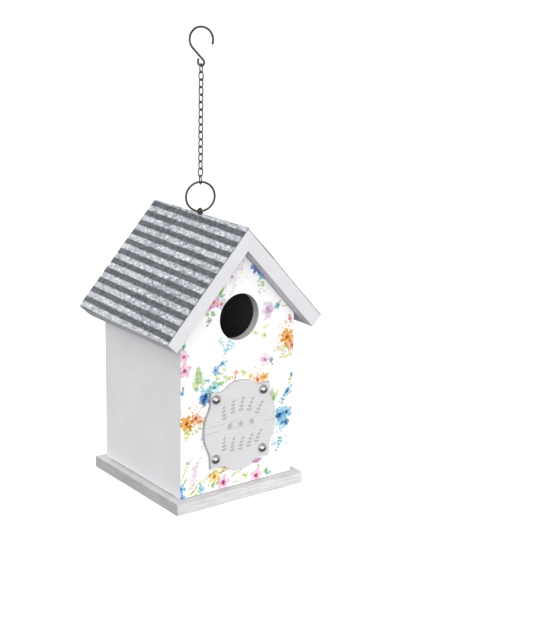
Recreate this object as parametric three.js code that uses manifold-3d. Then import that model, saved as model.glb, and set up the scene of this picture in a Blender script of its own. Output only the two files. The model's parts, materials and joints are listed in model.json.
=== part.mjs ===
// Hanging wooden birdhouse: a gabled box on a base board, with a folded striped sheet over two roof
// boards, a plaque tacked to the front, a clean-out door at the back held by two turn buttons, and a
// hook, wire chain and ring that carry it from the ridge.
// Millimetres, +Z up. The front faces -Y. The origin is the inside top of the hook's bend, where the
// object hangs, and the chain runs straight down from it.
import * as THREE from 'three';
import { mergeVertices } from 'three/addons/utils/BufferGeometryUtils.js';
import Module from 'manifold-3d';

const wasm = await Module();
wasm.setup();

// ---------------------------------------------------------------- driving dimensions
const GAP = 0.3; // clearance between neighbouring pieces

// house, measured in its own frame: x from the middle, y from the front face, z from the base top
const HOUSE_HEIGHT = 228.6; // base underside to the ridge
const BASE_SIZE = 127.0; // square base board
const BASE_THICK = 10.0;
const BASE_LEDGE = 7.0; // how far the base stands out from the walls
const BODY_HALF = 56.25; // half the width over the side walls
const BODY_DEPTH = 113.0; // front face to back face
const WALL_THICK = 9.5;
const FRONT_THICK = 6.35;
const PRINT_THICK = 0.4;
const BACK_THICK = 9.5;

const ROOF_PITCH = THREE.MathUtils.degToRad(47.2);
const ROOF_HALF = 76.2; // ridge to eave, measured level
const ROOF_FRONT = -11.2;
const ROOF_BACK = 122.15;
const BOARD_THICK = 12.0;
const SHEET_THICK = 0.5;
const EAVE_ROUND = 1.6; // eased long edges of the eaves

const HOLE_RADIUS = 19.05;
const HOLE_X = 0.6;
const HOLE_Z = 144.0;

const PLAQUE_X = 0.9;
const PLAQUE_Z = 53.3;
const PLAQUE_THICK = 3.0;
const TACK_X = -0.4; // middle of the four tacks
const TACK_Z = 54.5;
const TACK_DX = 23.6;
const TACK_DZ = 25.5;
const TACK_RADIUS = 4.1;
const TACK_SHANK = 0.7;

const DOOR_HALF = 24.6;
const DOOR_TOP = 68.2;
const DOOR_THICK = 9.2;
const DOORWAY_HALF = 25.7;
const DOORWAY_TOP = 69.3;
const BUTTON_X = 30.6;
const BUTTON_Z = 35.5;
const BUTTON_THICK = 1.2;
const BUTTON_LENGTH = 19.4; // pivot to tip
const SCREW_RADIUS = 1.4;

// wire work, measured from the inside top of the hook
const HOOK_WIRE = 0.9; // wire radii
const LINK_WIRE = 0.55;
const RING_WIRE = 0.9;
const EYE_WIRE = 0.9;
const PLAY = 0.25; // clearance between two wires that hang in each other
const HOOK_BEND = 9.9; // bend and eye radii of the hook, to the wire's centre
const HOOK_EYE = 2.6;
const HOOK_DROP = 30.3; // top of the bend to the bottom of the eye, on the wire's centre line
const LINK_COUNT = 16;
const LINK_LENGTH = 7.27; // on the wire's centre line
const LINK_HALF = 2.05; // half the width of a link, on the wire's centre line
const RING_RADIUS = 12.0;
const EYE_RADIUS = 2.4;
const EYE_Y = 54.5; // the screw eye's place along the ridge

// which way each wire piece faces: the turn of its plane about the chain, in degrees
const HOOK_TURN = -56.7;
const LINK_TURNS = [25.9, -71.5, 11.3, -78.7, 11.3, -78.7, 11.3, -78.7, 11.3, -78.7, 11.3, -78.7,
  11.3, -86.5, -4.4, -102.2];
const RING_TURN = -20.0;
const EYE_TURN = -88.0;

// ---------------------------------------------------------------- derived heights
const HOOK_TOP = HOOK_WIRE;
const HOOK_EYE_BOTTOM = HOOK_TOP - HOOK_DROP;
const LINK_STEP = LINK_LENGTH - 2 * LINK_WIRE - PLAY;
const LINK_TOP = HOOK_EYE_BOTTOM + HOOK_WIRE + LINK_WIRE + PLAY; // first link, centre line
const LAST_LINK_BOTTOM = LINK_TOP - (LINK_COUNT - 1) * LINK_STEP - LINK_LENGTH;
const RING_TOP = LAST_LINK_BOTTOM + LINK_WIRE + RING_WIRE + PLAY;
const RING_BOTTOM = RING_TOP - 2 * RING_RADIUS;
const EYE_TOP = RING_BOTTOM + RING_WIRE + EYE_WIRE + PLAY;
const RIDGE_Z = HOUSE_HEIGHT - BASE_THICK; // in the house frame
const EYE_ABOVE_RIDGE = 1.25; // centre of the screw eye's loop over the ridge
const RIDGE_HEIGHT = EYE_TOP - EYE_RADIUS - EYE_ABOVE_RIDGE;
const HOUSE_DROP = RIDGE_HEIGHT - RIDGE_Z; // base top, in the object frame

const COS = Math.cos(ROOF_PITCH);
const SIN = Math.sin(ROOF_PITCH);
const TAN = Math.tan(ROOF_PITCH);
const SLOPE = ROOF_HALF / COS;
const UNDER_ROOF = SHEET_THICK + GAP + BOARD_THICK; // sheet top to board underside

// ---------------------------------------------------------------- materials
function finish(name, color, roughness, metalness) {
  return new THREE.MeshStandardMaterial({ name, color, roughness, metalness });
}
const whitewash = finish('whitewash', 0xd9d6d4, 0.7, 0.0);
const paint = finish('white_paint', 0xe6e4e6, 0.6, 0.0);
const print = finish('floral_print', 0xfcfbfa, 0.5, 0.0);
const sheet = finish('striped_sheet', 0x9a9fa4, 0.45, 0.3);
const plaqueGrey = finish('plaque_grey', 0xcfd0d2, 0.6, 0.0);
const chrome = finish('bright_tack', 0xc8c9cc, 0.2, 0.9);
const gunmetal = finish('gunmetal', 0x4b4a48, 0.4, 0.8);
const ironwork = finish('dark_iron', 0x55555a, 0.5, 0.7);
const knobWhite = finish('knob_white', 0xf2f2f2, 0.4, 0.0);

// ---------------------------------------------------------------- helpers
function toSolid(geometry) {
  const bare = geometry.clone();
  bare.deleteAttribute('normal');
  bare.deleteAttribute('uv');
  const merged = mergeVertices(bare, 1e-4);
  return new wasm.Manifold(new wasm.Mesh({
    numProp: 3,
    vertProperties: new Float32Array(merged.attributes.position.array),
    triVerts: new Uint32Array(merged.index.array),
  }));
}

function toGeometry(solid) {
  const mesh = solid.getMesh();
  const geometry = new THREE.BufferGeometry();
  geometry.setAttribute('position', new THREE.BufferAttribute(new Float32Array(mesh.vertProperties), 3));
  geometry.setIndex(new THREE.BufferAttribute(new Uint32Array(mesh.triVerts), 1));
  geometry.computeVertexNormals();
  return geometry;
}

function cut(geometry, tools) {
  let solid = toSolid(geometry);
  for (const tool of tools) solid = solid.subtract(toSolid(tool));
  return toGeometry(solid);
}

function join(geometry, others) {
  let solid = toSolid(geometry);
  for (const other of others) solid = solid.add(toSolid(other));
  return toGeometry(solid);
}

function box(x0, x1, y0, y1, z0, z1) {
  const geometry = new THREE.BoxGeometry(x1 - x0, y1 - y0, z1 - z0);
  geometry.translate((x0 + x1) / 2, (y0 + y1) / 2, (z0 + z1) / 2);
  return geometry;
}

// a prism along Y from an outline in x and z
function prism(outline, y0, y1) {
  const shape = outline instanceof THREE.Shape
    ? outline
    : new THREE.Shape(outline.map(([x, z]) => new THREE.Vector2(x, z)));
  const geometry = new THREE.ExtrudeGeometry(shape, { depth: y1 - y0, bevelEnabled: false, curveSegments: 6 });
  geometry.rotateX(Math.PI / 2);
  geometry.translate(0, y1, 0);
  return geometry;
}

// a rod along Y
function rod(x, z, radius, y0, y1, sides) {
  const geometry = new THREE.CylinderGeometry(radius, radius, y1 - y0, sides);
  geometry.translate(x, (y0 + y1) / 2, z);
  return geometry;
}

// round wire swept along points in the x-z plane
function wire(points, radius, steps, sides) {
  const path = new THREE.CatmullRomCurve3(points.map(([x, z]) => new THREE.Vector3(x, 0, z)));
  const section = [];
  for (let i = 0; i < sides; i += 1) {
    const a = (2 * Math.PI * i) / sides;
    section.push(new THREE.Vector2(radius * Math.cos(a), radius * Math.sin(a)));
  }
  return new THREE.ExtrudeGeometry(new THREE.Shape(section), { steps, extrudePath: path, bevelEnabled: false });
}

function arc(cx, cz, radius, from, to, count) {
  const points = [];
  for (let i = 0; i <= count; i += 1) {
    const a = THREE.MathUtils.degToRad(from + ((to - from) * i) / count);
    points.push([cx + radius * Math.cos(a), cz + radius * Math.sin(a)]);
  }
  return points;
}

function add(parent, name, geometry, material) {
  const mesh = new THREE.Mesh(geometry, material);
  mesh.name = name;
  parent.add(mesh);
  return mesh;
}

const birdhouse = new THREE.Group();
birdhouse.name = 'birdhouse';
const house = new THREE.Group();
house.position.set(0, -EYE_Y, HOUSE_DROP);
birdhouse.add(house);

// height of a surface that lies a given depth below the roof's top skin
function roofHeight(x, depth) {
  return RIDGE_Z - depth / COS - Math.abs(x) * TAN;
}

// ---------------------------------------------------------------- base and walls
add(house, 'base_board', box(
  -BASE_SIZE / 2, BASE_SIZE / 2, -BASE_LEDGE, BASE_SIZE - BASE_LEDGE, -BASE_THICK, 0,
), whitewash);

const PRINT_BACK = PRINT_THICK + GAP;
const FRONT_BACK = PRINT_BACK + FRONT_THICK;
const BACK_FRONT = BODY_DEPTH - BACK_THICK;
const BACK_INNER = BACK_FRONT - GAP;
const WALL_INNER = BODY_HALF - WALL_THICK;
const WALL_TOP = UNDER_ROOF + GAP;

for (const [name, side] of [['left_wall', -1], ['right_wall', 1]]) {
  const outline = [
    [side * BODY_HALF, GAP],
    [side * BODY_HALF, roofHeight(BODY_HALF, WALL_TOP)],
    [side * WALL_INNER, roofHeight(WALL_INNER, WALL_TOP)],
    [side * WALL_INNER, GAP],
  ];
  add(house, name, prism(outline, FRONT_BACK + GAP, BACK_INNER), paint);
}

const gable = [
  [-BODY_HALF, GAP],
  [BODY_HALF, GAP],
  [BODY_HALF, roofHeight(BODY_HALF, WALL_TOP)],
  [0, roofHeight(0, WALL_TOP)],
  [-BODY_HALF, roofHeight(BODY_HALF, WALL_TOP)],
];
const tackPlaces = [
  ['plaque_tack_top_left', -1, 1],
  ['plaque_tack_top_right', 1, 1],
  ['plaque_tack_bottom_left', -1, -1],
  ['plaque_tack_bottom_right', 1, -1],
].map(([name, sx, sz]) => ({ name, x: TACK_X + sx * TACK_DX, z: TACK_Z + sz * TACK_DZ }));
const tackHoles = tackPlaces.map(({ x, z }) => rod(x, z, TACK_SHANK + GAP, -20, 20, 10));
const entrance = rod(HOLE_X, HOLE_Z, HOLE_RADIUS, -20, 20, 48);

add(house, 'front_floral_print', cut(prism(gable, 0, PRINT_THICK), [entrance, ...tackHoles]), print);
add(house, 'front_gable_panel', cut(prism(gable, PRINT_BACK, FRONT_BACK), [entrance, ...tackHoles]), paint);

const doorway = box(-DOORWAY_HALF, DOORWAY_HALF, BACK_FRONT - 5, BODY_DEPTH + 5, -5, DOORWAY_TOP);
const screwHoles = [-1, 1].map((side) => rod(
  side * BUTTON_X, BUTTON_Z, SCREW_RADIUS + GAP, BACK_FRONT + 2, BODY_DEPTH + 5, 12,
));
add(house, 'back_gable_panel', cut(prism(gable, BACK_FRONT, BODY_DEPTH), [doorway, ...screwHoles]), paint);

// ---------------------------------------------------------------- roof
const eyeMatrix = new THREE.Matrix4().makeRotationZ(THREE.MathUtils.degToRad(EYE_TURN));
function atEye(geometry) {
  geometry.applyMatrix4(eyeMatrix);
  geometry.translate(0, EYE_Y, 0);
  return geometry;
}
const eyeSeat = [
  atEye(box(-EYE_RADIUS - 1.3, EYE_RADIUS + 1.3, -1.25, 1.25, RIDGE_Z - 3.0, RIDGE_Z + 5)),
  atEye(box(-1.4, 1.4, -1.4, 1.4, RIDGE_Z - 16.5, RIDGE_Z)),
];

for (const [name, side] of [['left_roof_board', -1], ['right_roof_board', 1]]) {
  const top = SHEET_THICK + GAP;
  const mitre = GAP / 2;
  // points across the board: u down the slope, v below the roof's top skin
  const at = (u, v) => [side * (u * COS - v * SIN), RIDGE_Z - u * SIN - v * COS];
  const r = EAVE_ROUND;
  const outline = [
    [side * mitre, roofHeight(mitre, top)],
    at(SLOPE - r, top),
    at(SLOPE - 0.3 * r, top + 0.3 * r),
    at(SLOPE, top + r),
    at(SLOPE, UNDER_ROOF - r),
    at(SLOPE - 0.3 * r, UNDER_ROOF - 0.3 * r),
    at(SLOPE - r, UNDER_ROOF),
    [side * mitre, roofHeight(mitre, UNDER_ROOF)],
  ];
  add(house, name, cut(prism(outline, ROOF_FRONT, ROOF_BACK), eyeSeat), paint);
}

const foldOutline = [];
for (const [side, depth] of [[-1, 0], [1, 0], [1, SHEET_THICK], [-1, SHEET_THICK]]) {
  const eave = [side * (SLOPE * COS - depth * SIN), RIDGE_Z - SLOPE * SIN - depth * COS];
  const ridge = [0, roofHeight(0, depth)];
  if (side < 0 && depth === 0) foldOutline.push(eave, ridge);
  else if (side > 0 && depth > 0) foldOutline.push(eave, ridge);
  else foldOutline.push(eave);
}
add(house, 'folded_roof_sheet', cut(prism(foldOutline, ROOF_FRONT, ROOF_BACK), [eyeSeat[0]]), sheet);

// ---------------------------------------------------------------- plaque and tacks
// one quarter of the bracket outline: a square corner, an ogee shoulder and a bowed middle
const quarter = [
  [0.0, 38.4], [6.0, 37.8], [11.0, 36.0], [14.5, 33.4], [19.0, 31.6], [24.0, 31.6], [29.2, 32.4],
  [29.4, 27.0], [29.6, 22.5], [31.2, 17.5], [33.6, 12.5], [35.2, 7.0], [35.8, 0.0],
];
const plaqueOutline = [];
for (const [sx, sz, reverse] of [[1, 1, false], [1, -1, true], [-1, -1, false], [-1, 1, true]]) {
  const run = reverse ? [...quarter].reverse() : quarter;
  run.slice(0, -1).forEach(([x, z]) => plaqueOutline.push([PLAQUE_X + sx * x, PLAQUE_Z + sz * z]));
}
const PLAQUE_BACK = -GAP;
const PLAQUE_FRONT = PLAQUE_BACK - PLAQUE_THICK;
add(house, 'front_plaque', cut(prism(plaqueOutline, PLAQUE_FRONT, PLAQUE_BACK), tackHoles), plaqueGrey);

for (const { name, x, z } of tackPlaces) {
  const profile = [[0, -3.0], [1.6, -2.76], [2.9, -2.1], [3.75, -1.1], [TACK_RADIUS, 0], [TACK_SHANK, 0],
    [TACK_SHANK, 8.2], [0, 9.4]];
  const tack = new THREE.LatheGeometry(profile.map(([r, y]) => new THREE.Vector2(r, y)), 14);
  tack.translate(x, PLAQUE_FRONT - GAP, z);
  add(house, name, toGeometry(toSolid(tack)), chrome);
}

// ---------------------------------------------------------------- clean-out door
const DOOR_BACK = BACK_FRONT + DOOR_THICK;
const knobHole = rod(0, 34.6, 2.3, DOOR_BACK - 6.5, DOOR_BACK + 5, 12);
add(house, 'cleanout_door', cut(
  box(-DOOR_HALF, DOOR_HALF, BACK_FRONT, DOOR_BACK, 2 * GAP, DOOR_TOP), [knobHole],
), paint);

const knobProfile = [[0, -6.0], [2.0, -6.0], [2.0, 0.3], [3.1, 0.3], [2.7, 1.6], [3.6, 3.0], [4.7, 4.4],
  [5.0, 5.8], [4.5, 7.3], [3.0, 8.5], [0, 9.0]];
const knob = new THREE.LatheGeometry(knobProfile.map(([r, y]) => new THREE.Vector2(r, y)), 20);
knob.translate(0, DOOR_BACK, 34.6);
add(house, 'door_knob', toGeometry(toSolid(knob)), knobWhite);

for (const [name, side] of [['left_door_stop', -1], ['right_door_stop', 1]]) {
  const inner = side * (DOOR_HALF - 3);
  const outer = side * (DOOR_HALF + 9);
  add(house, name, box(
    Math.min(inner, outer), Math.max(inner, outer), BACK_INNER - 8, BACK_INNER, GAP, DOORWAY_TOP + 4,
  ), paint);
}

// a turn button points straight up, clear of the door: a round head, a waist and a leaf
function buttonShape() {
  const shape = new THREE.Shape();
  const l = BUTTON_LENGTH;
  shape.moveTo(2.2, 3.3);
  shape.bezierCurveTo(2.0, 6.2, 4.3, 8.0, 4.2, 11.6);
  shape.bezierCurveTo(4.1, 15.2, 1.6, 17.4, 0, l);
  shape.bezierCurveTo(-1.6, 17.4, -4.1, 15.2, -4.2, 11.6);
  shape.bezierCurveTo(-4.3, 8.0, -2.0, 6.2, -2.2, 3.3);
  for (let i = 1; i < 12; i += 1) {
    const a = THREE.MathUtils.degToRad(123.7 + (292.6 * i) / 12);
    shape.lineTo(3.97 * Math.cos(a), 3.97 * Math.sin(a));
  }
  shape.closePath();
  return shape;
}
const BUTTON_FRONT = BODY_DEPTH + GAP;
const BUTTON_BACK = BUTTON_FRONT + BUTTON_THICK;
for (const [label, side] of [['left', -1], ['right', 1]]) {
  const plate = cut(prism(buttonShape(), BUTTON_FRONT, BUTTON_BACK), [
    rod(0, 0, SCREW_RADIUS + GAP, 100, 130, 12),
  ]);
  plate.translate(side * BUTTON_X, 0, BUTTON_Z);
  add(house, `${label}_turn_button`, plate, ironwork);

  const head = BUTTON_BACK + GAP;
  const profile = [[0, BACK_FRONT + 2.6], [SCREW_RADIUS, BACK_FRONT + 4.4], [SCREW_RADIUS, head], [3.2, head],
    [3.1, head + 0.7], [2.3, head + 1.5], [1.2, head + 1.9], [0, head + 2.0]];
  const screw = new THREE.LatheGeometry(profile.map(([r, y]) => new THREE.Vector2(r, y)), 14);
  screw.translate(side * BUTTON_X, 0, BUTTON_Z);
  add(house, `${label}_button_screw`, toGeometry(toSolid(screw)), ironwork);
}

// ---------------------------------------------------------------- screw eye on the ridge
const eyeCentre = RIDGE_Z + EYE_ABOVE_RIDGE;
const eyeLoop = new THREE.TorusGeometry(EYE_RADIUS, EYE_WIRE, 8, 24);
eyeLoop.rotateX(Math.PI / 2);
eyeLoop.translate(0, 0, eyeCentre);
const eyeShank = new THREE.CylinderGeometry(0.95, 0.5, 13.5, 10);
eyeShank.rotateX(Math.PI / 2);
eyeShank.translate(0, 0, eyeCentre - EYE_RADIUS - 6.75);
add(house, 'screw_eye', atEye(join(eyeLoop, [eyeShank])), gunmetal);

// ---------------------------------------------------------------- ring, chain and hook
function turned(mesh, degrees, z) {
  mesh.rotation.z = THREE.MathUtils.degToRad(degrees);
  mesh.position.z = z;
}

const ring = new THREE.TorusGeometry(RING_RADIUS, RING_WIRE, 8, 44);
ring.rotateX(Math.PI / 2);
turned(add(birdhouse, 'hanging_ring', toGeometry(toSolid(ring)), gunmetal), RING_TURN, RING_TOP - RING_RADIUS);

// a link: wire bent to an oval with blunt ends, its two ends meeting on one long side with a hairline between
const slit = 0.12;
const blunt = 2 / 2.4; // power that squares the oval off a little
const linkPoints = [[LINK_HALF, slit]];
for (let i = 1; i < 24; i += 1) {
  const a = (Math.PI * i) / 12;
  const c = Math.cos(a);
  const s = Math.sin(a);
  linkPoints.push([
    LINK_HALF * Math.sign(c) * Math.abs(c) ** blunt,
    (LINK_LENGTH / 2) * Math.sign(s) * Math.abs(s) ** blunt,
  ]);
}
linkPoints.push([LINK_HALF, -slit]);
for (let i = 0; i < LINK_COUNT; i += 1) {
  const name = `chain_link_${String(i + 1).padStart(2, '0')}`;
  const link = add(birdhouse, name, wire(linkPoints, LINK_WIRE, 22, 6), gunmetal);
  turned(link, LINK_TURNS[i], LINK_TOP - LINK_LENGTH / 2 - i * LINK_STEP);
}

// the hook: a wide bend, a straight shank across to the other side, and a small eye that closes on it
const bendZ = HOOK_TOP - HOOK_BEND;
const eyeZ = HOOK_EYE_BOTTOM + HOOK_EYE;
const reach = bendZ - eyeZ;
const cross = Math.asin((HOOK_BEND + HOOK_EYE) / reach);
const leave = THREE.MathUtils.radToDeg(cross); // the crossing tangent between the bend and the eye
const hookPoints = [
  ...arc(0, bendZ, HOOK_BEND, -22, 180 + leave, 26),
  ...arc(0, eyeZ, HOOK_EYE, leave, -176, 16),
  [-HOOK_EYE - 0.05, eyeZ + 1.2], [-HOOK_EYE + 0.15, eyeZ + 2.4],
];
turned(add(birdhouse, 'hanging_hook', wire(hookPoints, HOOK_WIRE, 60, 8), gunmetal), HOOK_TURN, 0);

export default birdhouse;
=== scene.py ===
import json
import math

import bmesh
import bpy
from mathutils import Matrix, Vector


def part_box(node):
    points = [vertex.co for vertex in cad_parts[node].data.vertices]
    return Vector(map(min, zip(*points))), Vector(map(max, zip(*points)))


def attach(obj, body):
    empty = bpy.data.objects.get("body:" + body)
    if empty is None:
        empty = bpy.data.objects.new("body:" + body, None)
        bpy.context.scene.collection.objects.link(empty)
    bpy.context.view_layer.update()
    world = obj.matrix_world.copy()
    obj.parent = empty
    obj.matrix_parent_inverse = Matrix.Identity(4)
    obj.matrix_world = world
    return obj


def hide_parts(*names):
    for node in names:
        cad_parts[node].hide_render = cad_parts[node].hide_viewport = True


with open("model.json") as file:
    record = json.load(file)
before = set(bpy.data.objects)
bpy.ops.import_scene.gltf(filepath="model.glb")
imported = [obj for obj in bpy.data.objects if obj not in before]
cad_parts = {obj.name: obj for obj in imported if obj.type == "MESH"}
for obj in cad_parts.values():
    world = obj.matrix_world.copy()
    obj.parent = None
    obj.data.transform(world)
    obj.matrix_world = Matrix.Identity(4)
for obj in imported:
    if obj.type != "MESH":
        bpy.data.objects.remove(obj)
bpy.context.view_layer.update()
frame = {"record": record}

MM = 0.001

BASE_LO, BASE_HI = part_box("base_board")
FRONT_LO, FRONT_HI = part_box("front_floral_print")
ORIGIN = Vector(((BASE_LO.x + BASE_HI.x) / 2, FRONT_LO.y, BASE_HI.z))
TO_ROW = Matrix.Translation(ORIGIN) @ Matrix.Scale(MM, 4)


def house_box(node):
    """A CAD node's box in the house frame, in millimetres."""
    lo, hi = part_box(node)
    return (lo - ORIGIN) / MM, (hi - ORIGIN) / MM


# ---------------- sizes, mm
BODY_HALF = (FRONT_HI.x - FRONT_LO.x) / 2 / MM
BODY_DEPTH = house_box("back_gable_panel")[1].y
WALL_THICK = 9.5
PRINT_THICK = 0.4
FRONT_BACK = house_box("front_gable_panel")[1].y
BACK_FRONT = house_box("back_gable_panel")[0].y
PITCH = math.radians(47.2)
COS, SIN, TAN = math.cos(PITCH), math.sin(PITCH), math.tan(PITCH)
ROOF_LO, ROOF_HI = house_box("folded_roof_sheet")
ROOF_HALF = (ROOF_HI.x - ROOF_LO.x) / 2
RIDGE = ROOF_HI.z
SLOPE = ROOF_HALF / COS
SHEET = 0.5
BOARD_TOP, BOARD_UNDER = 0.85, 12.8  # depths under the roof's top skin
HOLE = (0.6, 144.0)
HOLE_RADIUS = 19.05
PLAQUE = (0.9, 53.3)
PLAQUE_FRONT = house_box("front_plaque")[0].y
DOORWAY_HALF, DOORWAY_TOP = 25.7, 69.3
KNOB_Z = 34.6
BUTTON_X, BUTTON_Z = 30.6, 35.5
EYE_TURN = -88.0  # degrees about the chain


# ---------------- node trees
class Graph:
    """A node tree with short calls for the nodes that repeat."""

    def __init__(self, name, tree=None):
        if tree is None:
            self.material = bpy.data.materials.new(name)
            self.material.use_nodes = True
            tree = self.material.node_tree
            tree.nodes.clear()
        self.tree = tree

    def add(self, kind, **settings):
        node = self.tree.nodes.new("ShaderNode" + kind)
        for key, value in settings.items():
            setattr(node, key, value)
        return node

    def put(self, socket, value):
        if isinstance(value, bpy.types.NodeSocket):
            self.tree.links.new(value, socket)
        elif value is not None:
            if socket.type == "RGBA" and len(value) == 3:
                value = (*value, 1.0)
            socket.default_value = value

    def fed(self, kind, inputs, **settings):
        """A node with these values or links put into its inputs, by label or by number."""
        node = self.add(kind, **settings)
        for key, value in inputs.items():
            self.put(node.inputs[key], value)
        return node

    def math(self, operation, a, b=None, c=None, clamp=False):
        return self.fed("Math", {0: a, 1: b, 2: c}, operation=operation, use_clamp=clamp).outputs[0]

    def times(self, a, b):
        return self.math("MULTIPLY", a, b)

    def plus(self, a, b):
        return self.math("ADD", a, b)

    def minus(self, a, b, clamp=False):
        return self.math("SUBTRACT", a, b, clamp=clamp)

    def times_plus(self, a, b, c):
        """a times b, plus c."""
        return self.math("MULTIPLY_ADD", a, b, c)

    def vector(self, operation, a, b=None, c=None):
        node = self.fed("VectorMath", {0: a, 1: b, 2: c}, operation=operation)
        return node.outputs["Value" if operation in ("LENGTH", "DOT_PRODUCT") else "Vector"]

    def split(self, point):
        return self.fed("SeparateXYZ", {0: point}).outputs

    def mix(self, factor, a, b, blend="MIX"):
        return self.fed("Mix", {0: factor, 6: a, 7: b}, data_type="RGBA", blend_type=blend).outputs[2]

    def span(self, value, low, high, to_low=0.0, to_high=1.0, kind="SMOOTHSTEP"):
        inputs = {0: value, 1: low, 2: high, 3: to_low, 4: to_high}
        return self.fed("MapRange", inputs, interpolation_type=kind).outputs[0]

    def noise(self, point, scale, detail=3.0, rough=0.55, output="Fac"):
        inputs = {"Vector": point, "Scale": scale, "Detail": detail, "Roughness": rough}
        return self.fed("TexNoise", inputs).outputs[output]

    def cells(self, point, scale):
        return self.fed("TexVoronoi", {"Vector": point, "Scale": scale}).outputs

    def stretched(self, point, along):
        """The point with its axes scaled; a small number draws streaks out that way."""
        return self.vector("MULTIPLY", point, along)

    def flat(self, point):
        """The point brought onto the front's plane."""
        return self.vector("MULTIPLY", point, (1, 0, 1))

    def house_point(self):
        """The place on the object in the house frame, in millimetres."""
        coord = self.add("TexCoord").outputs["Object"]
        return self.vector("MULTIPLY_ADD", coord, (1 / MM,) * 3, tuple(-c / MM for c in ORIGIN))

    def bump(self, height, depth):
        """Relief up to depth millimetres."""
        return self.fed("Bump", {"Strength": 1.0, "Distance": depth * MM, "Height": height}).outputs[0]

    def surface(self, color, roughness, normal=None, metal=0.0):
        """Ends the material with its shader."""
        inputs = {"Base Color": color, "Roughness": roughness, "Normal": normal, "Metallic": metal}
        self.fed("OutputMaterial", {0: self.fed("BsdfPrincipled", inputs).outputs[0]})
        return self.material


# ---------------- finishes
def paint(name, tint, brush=(0.5, 0.05, 0.5), worn=0.0):
    """Brushed white paint over board: faint strokes, roller stipple, small dents, and greyer worn edges."""
    g = Graph(name)
    p = g.house_point()
    strokes = g.noise(g.stretched(p, brush), 1.0, 4.0, 0.6)
    stipple = g.noise(p, 1.7, 2.0, 0.5)
    clouds = g.noise(p, 0.028, 2.0)
    tone = g.times_plus(strokes, 0.5, g.times(clouds, 0.5))
    duller, brighter = tuple(c * 0.955 for c in tint), tuple(c * 1.02 for c in tint)
    color = g.mix(g.span(tone, 0.3, 0.7), duller, brighter)
    if worn:
        rub = g.span(g.noise(p, 0.35, 4.0, 0.65), 0.52, 0.66)
        color = g.mix(g.times(rub, worn), color, (0.52, 0.47, 0.41))
    dents = g.span(g.cells(p, 0.11)["Distance"], 0.0, 0.13)
    height = g.plus(g.times_plus(strokes, 0.6, g.times(stipple, 0.4)), g.times(dents, 0.5))
    return g.surface(color, g.span(stipple, 0.3, 0.7, 0.42, 0.56), g.bump(height, 0.09))


def painted_shade_board(name):
    """Painted shade for the inside of the house: a near-black colour with faint grain that stands for the
    darkness in there.
    """
    g = Graph(name)
    p = g.house_point()
    fibre = g.noise(g.stretched(p, (0.4, 0.4, 2.0)), 0.6, 4.0, 0.6)
    color = g.mix(fibre, (0.132, 0.123, 0.138), (0.33, 0.3075, 0.345))
    return g.surface(color, g.span(fibre, 0.3, 0.7, 0.8, 0.95), g.bump(fibre, 0.2))


def whitewash(name, grey, pale, rub=0.3):
    """Whitewashed board: the grain shows as grey streaks that follow each side, and faces turned sideways or
    up carry painted shade.
    """
    g = Graph(name)
    p = g.house_point()
    facing = g.split(g.add("NewGeometry").outputs["Normal"])
    sideways = g.span(g.math("ABSOLUTE", facing[0]), 0.6, 0.8)
    runs = []
    for along in ((0.035, 0.9, 0.9), (0.9, 0.035, 0.9)):
        broad = g.noise(g.stretched(p, along), 1.0, 5.0, 0.62)
        fine = g.noise(g.stretched(p, tuple(3.1 * a for a in along)), 1.0, 3.0, 0.7)
        runs.append(g.times_plus(broad, 0.65, g.times(fine, 0.35)))
    grain = g.fed("Mix", {0: sideways, 2: runs[0], 3: runs[1]}, data_type="FLOAT").outputs[0]
    patches = g.noise(p, 0.05, 3.0)
    wash = g.span(g.times_plus(patches, rub, grain), 0.36 + rub * 0.3, 0.62 + rub * 0.6)
    color = g.mix(wash, grey, pale)
    flecks = g.span(g.noise(p, 2.3, 2.0), 0.62, 0.72)
    color = g.mix(g.times(flecks, 0.25), color, (0.85, 0.84, 0.83))
    # painted shade: faces turned sideways are made much darker and faces turned up a little darker, for how
    # the light falls on them
    color = g.mix(sideways, color, (0.60, 0.585, 0.585), "MULTIPLY")
    color = g.mix(g.span(facing[2], 0.6, 0.8), color, (0.84, 0.82, 0.82), "MULTIPLY")
    return g.surface(color, g.span(grain, 0.3, 0.7, 0.75, 0.6), g.bump(grain, 0.25))


BAND_PITCH = 10.0
BAND_START = (4.9, 3.75)  # the middle of the first dark band, from the ridge, on the left and right slopes
BAND_SKEW = 0.0257  # how far a band runs down the slope for each step towards the back
ROOF_MIDDLE = 54.5


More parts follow.
